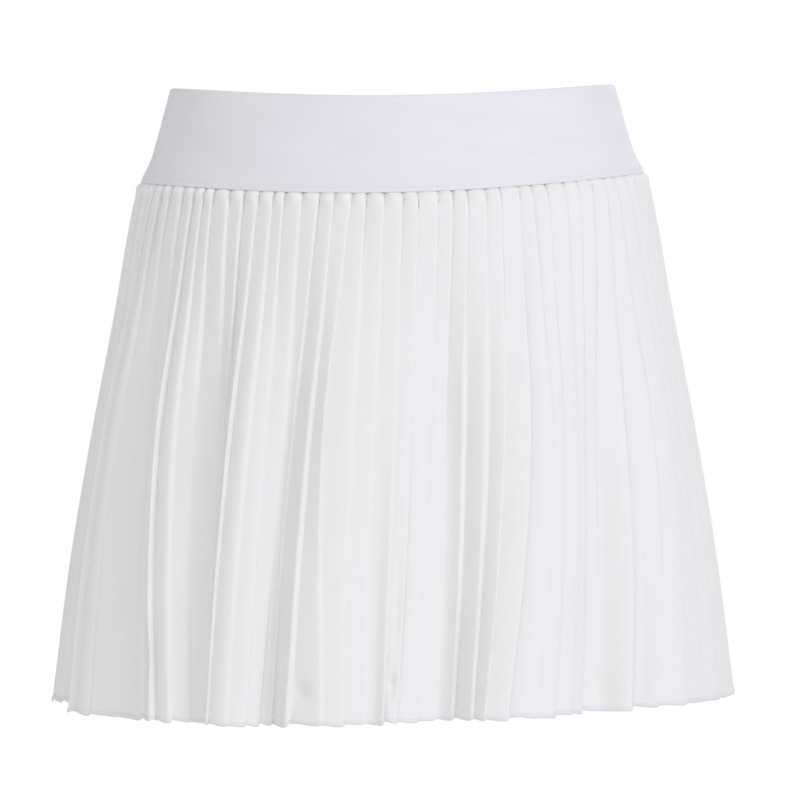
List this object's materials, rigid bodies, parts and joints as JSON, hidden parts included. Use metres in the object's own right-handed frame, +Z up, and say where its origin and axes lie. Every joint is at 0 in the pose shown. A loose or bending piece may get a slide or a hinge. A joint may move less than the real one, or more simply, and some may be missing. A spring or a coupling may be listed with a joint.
{
  "type": "pleated tennis skirt",
  "caption": "Short white knife-pleated tennis skirt, filled out as when worn, hung from a wide smooth elastic waistband and open at waist and hem.",
  "frame": {"origin": "middle of the waist opening, level with the rim at the side seams, where the wearer's waist holds the skirt up", "axes": "+Z up, the front of the skirt faces -Y, +X is the right-hand side seen from the front"},
  "size_m": [0.369, 0.2797, 0.337],
  "materials": {
    "waistband_elastic": "smooth matt elastic, white with a faint lilac cast",
    "pleated_polyester": "thin matt white polyester with a fine crosswise rib, pressed into knife pleats"
  },
  "bodies": {
    "root": {"waistband_front": "waistband_elastic", "waistband_back": "waistband_elastic", "skirt_front": "pleated_polyester", "skirt_back": "pleated_polyester"}
  },
  "joints": []
}
